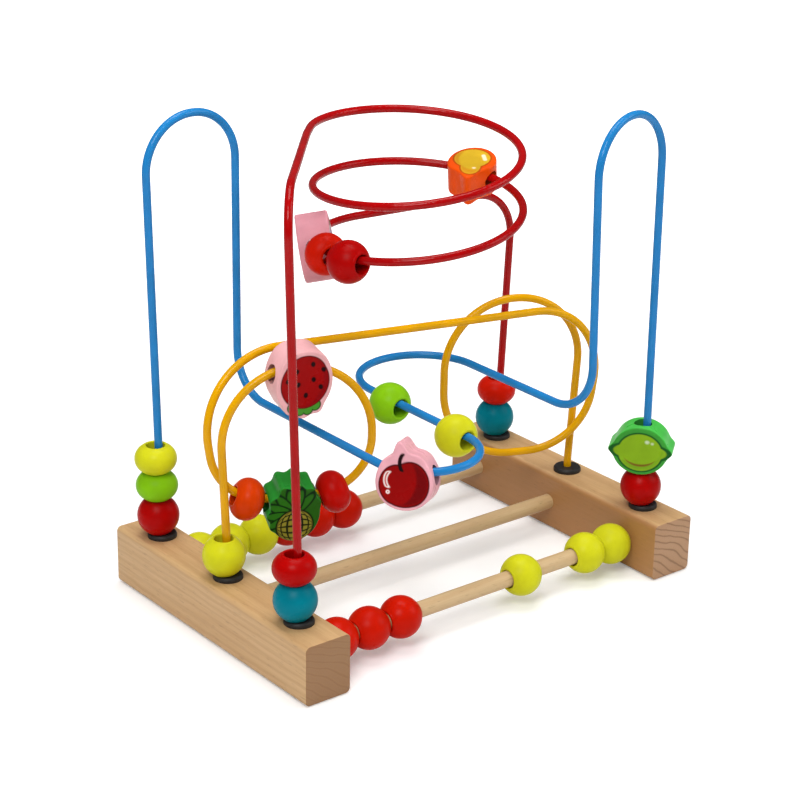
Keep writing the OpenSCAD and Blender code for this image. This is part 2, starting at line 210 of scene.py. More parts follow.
def paint_group():
    """Dipped paint: broad cloudy shade, fine pores of the wood below, and a slow surface wave."""
    tree, enter, leave = group(
        "dipped_paint",
        {"Vector": (VECTOR, (0, 0, 0)), "Paint": (COLOR, WHITE)},
        {"Color": COLOR, "Roughness": FLOAT, "Height": FLOAT})
    place = enter.outputs["Vector"]
    cloud = noise(tree, place, scale=90, detail=3)
    pore = noise(tree, place, scale=2600, detail=2)
    wave = noise(tree, place, scale=260, detail=1)
    thick = remap(tree, cloud, 0.3, 0.7, 0.0, 0.22)
    shade = mix(tree, thick, enter.outputs["Paint"], THICK_PAINT, "MULTIPLY")
    speck = mix(tree, remap(tree, pore, 0.62, 0.78, 0.0, 0.18), shade, BLACK)
    tree.links.new(speck, leave.inputs["Color"])
    tree.links.new(remap(tree, cloud, 0.3, 0.7, 0.24, 0.36), leave.inputs["Roughness"])
    ripple = math(tree, "MULTIPLY", wave, 0.5)
    tree.links.new(math(tree, "ADD", ripple, math(tree, "MULTIPLY", pore, 0.12)), leave.inputs["Height"])
    return tree


def wood_group():
    """Planed wood: warm patches, weak growth bands, fine fibres, short dark pores and tiny ridges.

    End is 1 where the saw cut across the grain, and there the growth rings show as dark lines."""
    tree, enter, leave = group(
        "planed_wood",
        {"Vector": (VECTOR, (0, 0, 0)), "Pale": (COLOR, WHITE), "Dark": (COLOR, BLACK), "End": (FLOAT, 0)},
        {"Color": COLOR, "Roughness": FLOAT, "Height": FLOAT})
    place = enter.outputs["Vector"]
    sway = noise(tree, place, scale=30, detail=2, stretch=(1, 0.12, 1))
    shift = tree.nodes.new("ShaderNodeVectorMath")
    shift.operation = "MULTIPLY_ADD"
    shift.inputs[1].default_value = RING_SWAY
    tree.links.new(sway, shift.inputs[0])
    tree.links.new(place, shift.inputs[2])
    rings = tree.nodes.new("ShaderNodeTexWave")
    rings.wave_type = "RINGS"
    rings.rings_direction = "Y"
    for key, value in (("Scale", 88), ("Distortion", 1.4), ("Detail", 2.0), ("Detail Scale", 1.2)):
        rings.inputs[key].default_value = value
    tree.links.new(shift.outputs["Vector"], rings.inputs["Vector"])
    patch = noise(tree, place, scale=26, detail=2, stretch=(1, 0.3, 1))
    fibre = noise(tree, place, scale=1500, detail=3, stretch=(1, 0.02, 1))
    pore = noise(tree, place, scale=1300, detail=2, stretch=(1, 0.14, 1))
    warm = remap(tree, patch, 0.35, 0.7, 0.0, 0.3)
    tone = mix(tree, warm, enter.outputs["Pale"], WARM_PATCH, "MULTIPLY")
    tone = mix(tree, remap(tree, rings.outputs["Fac"], 0.3, 1.0, 0.0, 0.24), tone, enter.outputs["Dark"])
    tone = mix(tree, remap(tree, fibre, 0.35, 0.75, 0.0, 0.22), tone, enter.outputs["Dark"])
    tone = mix(tree, remap(tree, pore, 0.62, 0.74, 0.0, 0.3), tone, OPEN_PORE)
    line = remap(tree, rings.outputs["Fac"], 0.8, 1.0, 0.0, 0.6)
    tone = mix(tree, math(tree, "MULTIPLY", line, enter.outputs["End"]), tone, LATE_WOOD)
    tree.links.new(tone, leave.inputs["Color"])
    tree.links.new(remap(tree, fibre, 0.3, 0.7, 0.42, 0.58), leave.inputs["Roughness"])
    ridge = math(tree, "MULTIPLY", fibre, 0.5)
    tree.links.new(math(tree, "SUBTRACT", ridge, pore), leave.inputs["Height"])
    return tree


def coat_group():
    """Plastic coat on wire: slow thick and thin places, small lumps and a little dust."""
    tree, enter, leave = group(
        "wire_coat",
        {"Vector": (VECTOR, (0, 0, 0)), "Coat": (COLOR, WHITE)},
        {"Color": COLOR, "Roughness": FLOAT, "Height": FLOAT})
    place = enter.outputs["Vector"]
    slow = noise(tree, place, scale=70, detail=2)
    lump = noise(tree, place, scale=420, detail=2)
    dust = noise(tree, place, scale=3000, detail=1)
    thick = remap(tree, slow, 0.3, 0.7, 0.0, 0.25)
    shade = mix(tree, thick, enter.outputs["Coat"], THICK_COAT, "MULTIPLY")
    shade = mix(tree, remap(tree, dust, 0.68, 0.8, 0.0, 0.04), shade, WHITE)
    tree.links.new(shade, leave.inputs["Color"])
    tree.links.new(remap(tree, slow, 0.3, 0.7, 0.12, 0.24), leave.inputs["Roughness"])
    tree.links.new(lump, leave.inputs["Height"])
    return tree


PAINT, WOOD, COAT = paint_group(), wood_group(), coat_group()
print("groups:", PAINT.name, WOOD.name, COAT.name)

# %% A material from a group
BUMP_DEPTH = 0.0004


def finish_from(name, effect, values, bump, turn=(0, 0, 0), offset=(0, 0, 0), tint=None, **fixed):
    """A Principled material whose colour, roughness and bump come from an effect on Object coordinates.

    turn and offset set the grain on the piece. tint names the colour input that a painted-on colour
    attribute feeds, whose fourth value marks sawn ends. fixed sets plain sockets such as Coat Weight."""
    material = bpy.data.materials.new(name)
    material.use_nodes = True
    tree = material.node_tree
    shader = tree.nodes["Principled BSDF"]
    where = tree.nodes.new("ShaderNodeTexCoord").outputs["Object"]
    place = tree.nodes.new("ShaderNodeMapping")
    place.inputs["Rotation"].default_value = turn
    place.inputs["Location"].default_value = offset
    tree.links.new(where, place.inputs["Vector"])
    node = tree.nodes.new("ShaderNodeGroup")
    node.node_tree = effect
    for key, value in values.items():
        node.inputs[key].default_value = value
    tree.links.new(place.outputs["Vector"], node.inputs["Vector"])
    if tint:
        layer = tree.nodes.new("ShaderNodeAttribute")
        layer.attribute_name = "tint"
        tree.links.new(layer.outputs["Color"], node.inputs[tint])
        if "End" in node.inputs:
            tree.links.new(layer.outputs["Alpha"], node.inputs["End"])
    relief = tree.nodes.new("ShaderNodeBump")
    relief.inputs["Strength"].default_value = bump
    relief.inputs["Distance"].default_value = BUMP_DEPTH
    tree.links.new(node.outputs["Height"], relief.inputs["Height"])
    tree.links.new(relief.outputs["Normal"], shader.inputs["Normal"])
    tree.links.new(node.outputs["Color"], shader.inputs["Base Color"])
    tree.links.new(node.outputs["Roughness"], shader.inputs["Roughness"])
    for key, value in fixed.items():
        shader.inputs[key.replace("_", " ")].default_value = value
    return material


# %% [markdown]
# ## The routes of the wires
# A maze wire is straight runs joined by circular bends, as a bending machine leaves it. Each route is a
# list of corner points and bend radii from the drawing. The red wire also has a coil, whose points come
# from a formula: a circle that drifts sideways, sinks steadily and leans a little.

# %% Bends and routes


def unit(v):
    """A vector divided by its length."""
    return v / np.linalg.norm(v)


def bend(corners, radii, k):
    """Centre, first spoke, first direction and turn of the bend at corner k.

    The centre lies on the corner's bisector, at radius / sin(half the corner angle)."""
    back, on = unit(corners[k - 1] - corners[k]), unit(corners[k + 1] - corners[k])
    half = np.arccos(back @ on) / 2
    radius = radii[k - 1]
    centre = corners[k] + unit(back + on) * radius / np.sin(half)
    spoke = (corners[k] + back * radius / np.tan(half) - centre) / radius
    return centre, spoke, -back, np.pi - 2 * half


def on_bend(corners, radii, k, angle):
    """Points and directions on a bend: centre + radius (cos a spoke + sin a direction)."""
    centre, spoke, ahead, _ = bend(corners, radii, k)
    a = np.atleast_1d(angle)[:, None]
    points = centre + radii[k - 1] * (np.cos(a) * spoke + np.sin(a) * ahead)
    return points, np.cos(a) * ahead - np.sin(a) * spoke


def route(corners, radii, step=3.0):
    """A wire's centre line: its two ends and a point every few degrees of each bend."""
    parts = [corners[:1]]
    for k in range(1, len(corners) - 1):
        turn = bend(corners, radii, k)[3]
        count = max(3, int(np.ceil(np.degrees(turn) / step)))
        parts.append(on_bend(corners, radii, k, np.linspace(0, turn, count + 1))[0])
    return np.concatenate(parts + [corners[-1:]])


def u_turn(corners, k, flat=0.6):
    """Radius of the two bends of a U-turn that leave a short flat between them."""
    def opening(n):
        """Angle between the two runs that meet at corner n."""
        return np.arccos(unit(corners[n - 1] - corners[n]) @ unit(corners[n + 1] - corners[n]))

    spread = 1 / np.tan(opening(k) / 2) + 1 / np.tan(opening(k + 1) / 2)
    return (np.linalg.norm(corners[k + 1] - corners[k]) - flat) / spread


HOLE_X, PITCH, FOOT_Z, LEAN_Z, LEAN_R = 108.5, 57.5, 20.2, 37.5, 60.0


def foot(x, y):
    """The lower end of a wire: upright in its hole, up to where the leg starts to lean."""
    return [[x, y, FOOT_Z], [x, y, LEAN_Z]]


# %% Blue route: an arch, a level zigzag and an arch
ARCH_Z, ARCH_W, RUN_Z = 240.0, 52.5, 95.0
LEFT_X, MIDDLE_X, RIGHT_X = -60.0, -6.5, 57.0
FRONT_Y, BACK_Y = -78.5, 53.0
LEFT_ARCH_Y, RIGHT_ARCH_Y = PITCH + 4, -PITCH - 12.5
LEFT_DROP_R, RIGHT_RISE_R = 22, 26
blue = np.array([
    *foot(-HOLE_X, PITCH), [LEFT_X - ARCH_W, PITCH + 1, ARCH_Z], [LEFT_X, LEFT_ARCH_Y, ARCH_Z],
    [LEFT_X, LEFT_ARCH_Y, RUN_Z], [LEFT_X, FRONT_Y, RUN_Z], [MIDDLE_X, FRONT_Y, RUN_Z],
    [MIDDLE_X, BACK_Y, RUN_Z], [RIGHT_X, BACK_Y, RUN_Z], [RIGHT_X, RIGHT_ARCH_Y, RUN_Z],
    [RIGHT_X - 1, RIGHT_ARCH_Y + 3, ARCH_Z], [RIGHT_X - 1.5 + ARCH_W, 1 - PITCH, ARCH_Z],
    *foot(HOLE_X, -PITCH)[::-1]])
blue_r = [LEAN_R, *[u_turn(blue, 2)] * 2, LEFT_DROP_R, *[u_turn(blue, 5)] * 2, *[u_turn(blue, 7)] * 2,
          RIGHT_RISE_R, *[u_turn(blue, 10)] * 2, LEAN_R]
print("blue:", len(blue), "corners")

# %% Yellow route: two upright loops and a slanting straight
LOOP_TURN = np.radians(20.2)
LOOP_D, LOOP_TOP, LEFT_LOW, RIGHT_LOW, LOW_R = 75.0, 131.5, 65.5, 47.0, 27.0
# Bends at both ends of the slanting straight, then at the bottom of the right loop
SLANT_R = [38, 42, 34]
across = np.array([np.cos(LOOP_TURN), -np.sin(LOOP_TURN), 0])
through = np.array([np.sin(LOOP_TURN), np.cos(LOOP_TURN), 0])
left_side = np.array([-HOLE_X - 0.5, 5.9, 0])
up = np.array([0.0, 0.0, 1.0])
left_far, right_far = left_side + LOOP_D * across, -left_side - LOOP_D * across
yellow = np.array([
    *foot(-HOLE_X, 0), left_side + LOOP_TOP * up, left_far + LOOP_TOP * up, left_far + LEFT_LOW * up,
    left_side + 2.3 * through + LEFT_LOW * up, [-HOLE_X - 6.5, 17, LOOP_TOP + 6.3],
    [HOLE_X + 6.5, -17, LOOP_TOP - 3.8], -left_side - 2.5 * through + 2 * across + RIGHT_LOW * up,
    right_far + RIGHT_LOW * up, right_far + LOOP_TOP * up, -left_side + LOOP_TOP * up,
    *foot(HOLE_X, 0)[::-1]])
loop_r = u_turn(yellow, 2)
yellow_r = [LEAN_R, loop_r, loop_r, LOW_R, LOW_R, *SLANT_R, *[loop_r] * 3, LEAN_R]
print("yellow:", len(yellow), "corners")

# %% Red route: an arm, a hanging coil and an arm
COIL_R, COIL_TOP, COIL_SINK, COIL_START = 50, 232, 27.2, 137
COIL_MID, COIL_DRIFT, COIL_TILT = np.array([1.5, 1.0]), np.array([2.5, 0.8]), (3, 1.3)
COIL_POINTS, LEAD_IN = 256, 12.5
HEAD_R, TAIL_R = [LEAN_R, 21, 12], [26, LEAN_R]


def coil(angle):
    """Coil points at angles in degrees: a leaning circle that drifts and sinks with each turn."""
    a = np.radians(np.atleast_1d(angle).astype(float))
    turns = (COIL_START - np.degrees(a)) / 360
    x = COIL_MID[0] + COIL_DRIFT[0] * turns + COIL_R * np.cos(a)
    y = COIL_MID[1] + COIL_DRIFT[1] * turns + COIL_R * np.sin(a)
    z = COIL_TOP - COIL_SINK * turns + COIL_TILT[0] * np.cos(a) + COIL_TILT[1] * np.sin(a)
    return np.stack([x, y, z], -1)


def coil_way(angle):
    """Direction of the wire on the coil, down the turns."""
    return unit((coil(angle - 0.5) - coil(angle + 0.5))[0])


# The coil ends after two turns, where the arm's straight run touches its circle
arm_end = np.array([HOLE_X + 3, PITCH - 3, COIL_TOP - 2.2 * COIL_SINK - 1.5])
to_arm = arm_end[:2] - (COIL_MID + 2 * COIL_DRIFT)
touch = np.arctan2(to_arm[1], to_arm[0]) + np.arccos(COIL_R / np.linalg.norm(to_arm))
coil_end = np.degrees(touch) - 2 * 360
coil_first = coil(COIL_START)[0]
head = np.array([*foot(-HOLE_X, -PITCH), [-HOLE_X - 4, 3 - PITCH, COIL_TOP + 1],
                 coil_first - LEAD_IN * coil_way(COIL_START), coil_first])
tail = np.array([coil(coil_end)[0], arm_end, *foot(HOLE_X, PITCH)[::-1]])
turns_down = coil(np.linspace(COIL_START, coil_end, COIL_POINTS))
red_route = np.concatenate([route(head, HEAD_R)[:-1], turns_down, route(tail, TAIL_R)[1:]])
routes = {"blue": route(blue, blue_r), "yellow": route(yellow, yellow_r), "red": red_route}
print("routes:", {k: len(v) for k, v in routes.items()})

# %% [markdown]
# ## The wires
# A wire is a circle carried along its route. The circle must not twist on the way, so each ring turns
# its first spoke only as far as the route itself turns. A ring every three degrees keeps the highlights
# smooth on the bends, and the plastic coat is glossy with small lumps.

# %% Wires


def spokes(way):
    """One spoke for each direction: each is the last one made square to the next direction."""
    found = [unit(np.cross(way[0], [0.6, 0.8, 0.1]))]
    for d in way[1:]:
        found.append(unit(found[-1] - (found[-1] @ d) * d))
    return np.array(found)


def tube(path, radius, sides=20):
    """A circle carried along a path, with closed ends: point + radius (cos b spoke + sin b third)."""
    step = np.diff(path, axis=0)
    step /= np.linalg.norm(step, axis=1)[:, None]
    way = np.concatenate([step[:1], step[:-1] + step[1:], step[-1:]])
    way /= np.linalg.norm(way, axis=1)[:, None]
    spoke = spokes(way)
    third = np.cross(way, spoke)
    b = np.linspace(0, 2 * np.pi, sides, endpoint=False)[None, :, None]
    rings = path[:, None] + radius * (np.cos(b) * spoke[:, None] + np.sin(b) * third[:, None])
    points = np.concatenate([rings.reshape(-1, 3), path[:1], path[-1:]])
    count = len(path) * sides
    first, last = np.arange(sides), np.arange(count - sides, count)
    faces = [*quads(len(path), sides), *fan(first, count), *fan(last, count + 1)]
    return points, faces


WIRE_R = 2.0
coats = {"blue": (34, 130, 198), "yellow": (230, 167, 1), "red": (173, 3, 6)}
for colour, path in routes.items():
    coat = finish_from(f"coat_{colour}", COAT, {"Coat": rgba(*coats[colour])}, bump=0.5,
                       Specular_IOR_Level=0.2)
    points, faces = tube(path, WIRE_R)
    make_piece(f"wire_{colour}_coat", points, faces, f"wire_{colour}", "frame", coat)
    print("wire", colour, len(points), "points")

# %% [markdown]
# ## Turned beads
# Balls and discs come off a lathe: a profile turned about the bore. The profile is an outer arc, a soft
# lip where the drill came through, and the bore. A ball's arc is a circle about the centre, and a disc's
# is a smaller circle set out from the bore, which makes it look pressed flat.

# %% Bead profile


def bead_profile(arc_r, arc_out, half, bore_r, lip=0.45, count=40):
    """Closed profile (radius, height): outer arc, rounded lip, bore wall, rounded lip."""
    top = half - lip
    s = np.linspace(-1, 1, count)
    z = top * np.sin(s * np.pi / 2)
    outer = np.stack([arc_out + np.sqrt(arc_r ** 2 - z ** 2), z], -1)
    q = np.linspace(0, np.pi / 2, 7)[1:]
    wide = outer[-1, 0] - bore_r - lip
    over = np.stack([bore_r + lip + wide * np.cos(q), top + lip * np.sin(q)], -1)
    inner = np.stack([bore_r + lip - lip * np.sin(q), top + lip * np.cos(q)], -1)
    wall = np.stack([np.full(9, bore_r), np.linspace(top, -top, 11)[1:-1]], -1)
    lower = np.concatenate([inner[::-1], over[::-1]]) * [1, -1]
    return np.concatenate([outer, over, inner, wall, lower])


def turned(profile, centre, axis, sides=72):
    """The profile turned about an axis through a centre, as a closed ring-shaped grid."""
    axis = unit(np.asarray(axis, float))
    # Any direction that isn't along the axis gives a side
    side = unit(np.cross(axis, [0.31, 0.52, 0.79] if abs(axis[2]) < 0.9 else [1, 0.2, 0]))
    third = np.cross(axis, side)
    b = np.linspace(0, 2 * np.pi, sides, endpoint=False)[None, :, None]
    r, z = profile[:, 0, None, None], profile[:, 1, None, None]
    points = np.asarray(centre) + r * (np.cos(b) * side + np.sin(b) * third) + z * axis
    points = np.concatenate([points, points[:1]])
    faces = quads(len(points), sides) % (len(profile) * sides)
    return points[:-1].reshape(-1, 3), faces


BEAD_R, BORE_R, BALL_HALF, DISC_HALF, DISC_ARC = 10.4, 4.6, 8.9, 7.0, 7.25
ball_profile = bead_profile(BEAD_R, 0.0, BALL_HALF, BORE_R)
disc_profile = bead_profile(DISC_ARC, BEAD_R - DISC_ARC, DISC_HALF, BORE_R)
print("profiles:", len(ball_profile), len(disc_profile), "points")

# %% Paint colours of the turned beads
paints = {
    "paint_red": (178, 3, 2), "paint_vermilion": (207, 25, 2), "paint_brick": (194, 13, 5),
    "paint_yellow": (214, 214, 32), "paint_green": (136, 202, 20), "paint_teal": (0, 126, 144),
    "loop_orange": (213, 61, 2)}
paint = {}
for name, colour in paints.items():
    paint[name] = finish_from(name, PAINT, {"Paint": rgba(*colour)}, bump=0.12, Specular_IOR_Level=0.07)
print("paints:", *paint)

# %% [markdown]
# ## Threading the beads
# A bead's place is the middle of its solid. On a leg it stands upright, on a dowel it lies along it, and
# on a bend it follows the wire at the nearest point of the route, so no angle is written twice.

# %% Turned beads on their wires and dowels


def way_at(path, point):
    """Direction of a route at its point nearest to a place."""
    k = np.argmin(np.linalg.norm(path - point, axis=1))
    k = min(max(k, 1), len(path) - 2)
    return unit(path[k + 1] - path[k - 1])


def middle(node):
    """Middle of a node's box, in millimetres."""
    low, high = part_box(node)
    return (np.array(low) + np.array(high)) / 2 / MM


def bead_way(node):
    """The way a bead's bore points: along its dowel, its level run, its loop or coil, or upright."""
    if node.startswith(("front_", "rear_")):
        return np.array([1.0, 0, 0])
    if node.startswith("run_"):
        return np.array([0, 1.0, 0])
    if node.startswith("loop_"):
        return way_at(routes["yellow"], middle(node))
    if node.startswith("coil_"):
        return way_at(routes["red"], middle(node))
    return up


fruit_nodes = ["right_front_lime", "run_apple", "loop_strawberry", "loop_pineapple", "coil_pear", "coil_plum"]
beads = [body for body in frame["bodies"] if body != "frame" and body not in fruit_nodes]
for node in beads:
    profile = disc_profile if node.endswith("_disc") else ball_profile
    points, faces = turned(profile, middle(node), bead_way(node))
    finish = paint["loop_orange" if node == "loop_orange_disc" else slot_of[node]]
    make_piece(f"{node}_turned", points, faces, node, node, finish)
print("turned beads:", len(beads))

# %% [markdown]
# ## Sawn shapes with soft edges
# Blocks and fruit beads are sawn from a board: an outline with a thickness and sanded edges. Such a
# shape is one grid. Its rows run from the middle of the front face out to the edge, round it, across the
# side, and back to the middle of the back face.

# %% Sawn shape


def sawn(outline, thick, soft, face_rows=8, edge_rows=7, side_rows=12):
    """Points and faces of a board shape: each row is the outline drawn in towards the middle.

    On a face a row is a share of the rim, and on the edge it follows a quarter circle of radius soft."""
    reach = np.linalg.norm(outline, axis=1)
    half = thick / 2

    def row(scale, height):
        """The outline scaled point by point and set at one height."""
        return np.column_stack([outline * scale[:, None], np.full(len(outline), height)])

    rim = 1 - soft / reach
    rows = [row(rim * share, half) for share in np.linspace(0, 1, face_rows + 1)[1:-1]]
    for a in np.linspace(0, np.pi / 2, edge_rows):
        rows.append(row(1 - soft * (1 - np.sin(a)) / reach, half - soft * (1 - np.cos(a))))
    front = np.array(rows)
    levels = np.linspace(half - soft, soft - half, side_rows + 2)[1:-1]
    sides = np.array([row(np.ones(len(outline)), z) for z in levels])
    grid = np.concatenate([front, sides, front[::-1] * [1, 1, -1]])
    cols = len(outline)
    count = len(grid) * cols
    first, last = np.arange(cols), np.arange(count - cols, count)
    faces = [*quads(len(grid), cols), *fan(first, count), *fan(last, count + 1)]
    tips = [[0, 0, half], [0, 0, -half]]
    return np.concatenate([grid.reshape(-1, 3), tips]), faces


# %% [markdown]
# ## Blocks, dowels and rubber rings
# The blocks are planed wood with the grain along their length. Each is a rounded section cut to length,
# with the cut ends barely eased. The ends drink more lacquer and look darker, and growth rings show there
# as dark lines, so a fourth value beside each point's colour says how strongly. The inner side of the
# right block gets painted shade: it is coloured browner where it faces the parts between the blocks.
# The dowels and the rubber rings keep the solids of the frame and only get a finish: wood with the grain
# along the dowel, and a dull black rubber.

# %% Blocks


def rounded_rectangle(width, length, radius, arc=12, side=40):
    """Corners as quarter circles, sides as evenly spaced points between them."""
    a = np.linspace(0, np.pi / 2, arc)
    x, y = width / 2 - radius, length / 2 - radius
    quarter = radius * np.stack([np.cos(a), np.sin(a)], -1)
    turn = np.array([[0, -1], [1, 0]])
    spots = np.array([[x, y], [-x, y], [-x, -y], [x, -y]])
    corners = [spots[k % 4] + quarter @ np.linalg.matrix_power(turn, k).T for k in range(5)]
    share = np.linspace(0, 1, side + 2)[1:-1, None]
    parts = []
    for this, after in zip(corners, corners[1:]):
        parts += [this, this[-1] + (after[0] - this[-1]) * share]
    return np.concatenate(parts)


BLOCK_W, BLOCK_H, BLOCK_L, BLOCK_ROUND, EASE = 25, 30, 160, 2.5, 0.4
# Painted shade: from 10 to 12 mm in from the middle, the right block's inner side turns browner
PAINTED_SHADE_FROM, PAINTED_SHADE_FULL = 10, 12
RING_CENTRE = {"left": (0.13, 0.02, 0.035), "right": (-0.08, 0.02, 0.038)}
SIDE_WOOD, PAINTED_SHADE_WOOD = srgb(208, 170, 121), srgb(174, 125, 76)
END_WOOD = {"left": (*srgb(150, 111, 72), 0.4), "right": (*srgb(178, 138, 102), 0.85)}
section = rounded_rectangle(BLOCK_W, BLOCK_H, BLOCK_ROUND)
for side, x in (("left", -HOLE_X), ("right", HOLE_X)):
    points, faces = sawn(section, BLOCK_L, EASE)
    is_end = np.abs(points[:, 2:]) > BLOCK_L / 2 - EASE / 2
    # Painted shade on the inner side of the right block, which faces the parts between the blocks
    inward = (-points[:, :1] - PAINTED_SHADE_FROM) / (PAINTED_SHADE_FULL - PAINTED_SHADE_FROM)
    painted_shade = np.clip(inward, 0, 1) * (side == "right")
    wood = SIDE_WOOD + (PAINTED_SHADE_WOOD - SIDE_WOOD) * painted_shade
    tint = np.where(is_end, END_WOOD[side], np.concatenate([wood, 0 * painted_shade], 1))
    planed = finish_from(f"block_wood_{side}", WOOD, {"Dark": rgba(165, 118, 70)}, bump=0.2, tint="Pale",
                         offset=RING_CENTRE[side], Coat_Weight=0.05)
    laid = points[:, [0, 2, 1]] + [x, 0, BLOCK_H / 2]
    make_piece(f"block_{side}_planed", laid, faces, f"block_{side}", "frame", planed, tint)
print("blocks: 2")

# %% Dowels and rubber rings
RUBBER_DEPTH = 0.0003


def rubber():
    """Dull black rubber: a fine speckle and a slight roughness change."""
    material = bpy.data.materials.new("rubber_ring")
    material.use_nodes = True
    tree = material.node_tree
    shader = tree.nodes["Principled BSDF"]
    place = tree.nodes.new("ShaderNodeTexCoord").outputs["Object"]
    grain = noise(tree, place, scale=2400, detail=2)
    tone = mix(tree, remap(tree, grain, 0.35, 0.7, 0.0, 1.0), rgba(16, 16, 17), rgba(44, 43, 42))
    tree.links.new(tone, shader.inputs["Base Color"])
    tree.links.new(remap(tree, grain, 0.3, 0.7, 0.45, 0.65), shader.inputs["Roughness"])
    relief = tree.nodes.new("ShaderNodeBump")
    relief.inputs["Strength"].default_value = 0.2
    relief.inputs["Distance"].default_value = RUBBER_DEPTH
    tree.links.new(grain, relief.inputs["Height"])
    tree.links.new(relief.outputs["Normal"], shader.inputs["Normal"])
    return material


ring_finish = rubber()
dowel_tones = {"Pale": rgba(211, 184, 140), "Dark": rgba(185, 142, 94)}
dowel_finish = finish_from("dowel_wood", WOOD, dowel_tones, bump=0.15, turn=(0, 0, np.pi / 2),
                           offset=(0.01, 0.03, 0.02), Coat_Weight=0.08)
for name, node in frame["nodes"].items():
    if name.startswith(("dowel_", "grommet_")):
        node.data.materials.clear()
        node.data.materials.append(dowel_finish if name.startswith("dowel_") else ring_finish)
print("dowels and rings dressed")

# %% [markdown]
# ## Fruit beads
# A fruit bead is a sawn shape with a bore across it and a picture printed on both faces. The outline is
# a stretched circle with smooth bumps. The bore is drilled through the grid: faces inside its circle go,
# the points at the brink move onto the circle, and a short tube lines the hole. The picture is painted
# on the points: each layer is a colour with a soft-edged mask worked out from simple shapes.

# %% Outline, drill and placing


def fruit_outline(half, bumps, count=288):
    """Stretched circle with bumps: factor 1 + sum of height * exp(-(angle from bump / width)^2)."""
    a = np.linspace(0, 360, count, endpoint=False)
    grow = np.ones(count)
    for at, height, width in bumps:
        apart = np.abs(a - at)
        apart = np.minimum(apart, 360 - apart)
        grow += height * np.exp(-(apart / width) ** 2)
    a = np.radians(a)
    return np.stack([half[0] * grow * np.cos(a), half[1] * grow * np.sin(a)], -1)


def drill(points, faces, radius):
    """Opens a bore along X: faces wholly inside go, and points inside that stay move to the circle."""
    off = np.hypot(points[:, 1], points[:, 2])
    inside = (off < radius) & (np.abs(points[:, 0]) > radius)
    kept = [f for f in faces if not inside[list(f)].all()]
    used = np.zeros(len(points), bool)
    used[np.concatenate([np.asarray(f) for f in kept])] = True
    brink = inside & used
    points = points.copy()
    points[brink, 1:] *= (radius / off[brink])[:, None]
    return points, kept


def bore_tube(outline, drop, radius, sides=64, rows=10):
    """A tube along X whose two ends follow the outline: x at each end is the outline's x at that y."""
    b = np.linspace(0, 2 * np.pi, sides, endpoint=False)
    y, z = radius * np.cos(b), radius * np.sin(b)
    ends = []
    for sign in (-1, 1):
        part = outline[outline[:, 0] * sign > 0]
        part = part[np.argsort(part[:, 1])]
        ends.append(np.interp(y + drop, part[:, 1], part[:, 0]))
    share = np.linspace(0.0, 1.0, rows)[:, None]
    x = ends[0] * (1 - share) + ends[1] * share
    tube_points = np.stack([x, np.broadcast_to(y, x.shape), np.broadcast_to(z, x.shape)], -1)
    return tube_points.reshape(-1, 3), quads(rows, sides)


def turn_about(axis, degrees):
    """Rotation matrix about X, Y or Z: the other two axes turn by cos and sin of the angle."""
    c, s = np.cos(np.radians(degrees)), np.sin(np.radians(degrees))
    turns = {
        "X": [[1, 0, 0], [0, c, -s], [0, s, c]],
        "Y": [[c, 0, s], [0, 1, 0], [-s, 0, c]],
        "Z": [[c, -s, 0], [s, c, 0], [0, 0, 1]]}
    return np.array(turns[axis])


def threaded(way, roll):
    """Rotation that lays X along a wire and rolls the bead about it."""
    yaw, rise = np.degrees(np.arctan2(way[1], way[0])), np.degrees(np.arcsin(way[2]))
    return turn_about("Z", yaw) @ turn_about("Y", -rise) @ turn_about("X", roll)


# %% [markdown]
# ## The printed pictures
# Each picture is a stack of soft-edged shapes: ovals, strokes, arcs and grids, in millimetres on the
# face. They are common fruit drawn from scratch, with dark outlines and pale highlights.

# %% Painting helpers


def cover(distance, soft=0.22):
    """Mask that falls smoothly from 1 to 0 across a shape's edge; distance is below 0 inside."""
    s = np.clip(0.5 - distance / (2 * soft), 0, 1)
    return s * s * (3 - 2 * s)


def oval(x, y, cx, cy, rx, ry, lean=0.0):
    """Rough distance to an oval's edge: (radius in the oval's own units - 1) times its smaller half."""
    c, s = np.cos(np.radians(lean)), np.sin(np.radians(lean))
    u, v = (x - cx) * c + (y - cy) * s, (y - cy) * c - (x - cx) * s
    return (np.hypot(u / rx, v / ry) - 1) * min(rx, ry)


def stroke(x, y, start, end, width):
    """Distance to a straight stroke with round ends."""
    d = np.array(end) - np.array(start)
    t = np.clip(((x - start[0]) * d[0] + (y - start[1]) * d[1]) / (d @ d), 0, 1)
    return np.hypot(x - start[0] - t * d[0], y - start[1] - t * d[1]) - width / 2


def bow(x, y, cx, cy, radius, half):
    """Distance to the left arc of a circle, which ends at a height half above and below its centre."""
    past = np.clip(np.abs(y - cy) - half, 0, None)
    return np.hypot(np.hypot(x - cx, y - cy) - radius, past) + np.where(x < cx, 0, radius)


def lay(tint, mask, *rgb):
    """Lays a colour over a picture where a mask says so."""
    return tint + (srgb(*rgb) - tint) * mask[:, None]


def join(*shapes):
    """Union of shapes: the least distance."""
    return np.minimum.reduce(shapes)


# %% Apple and strawberry pictures


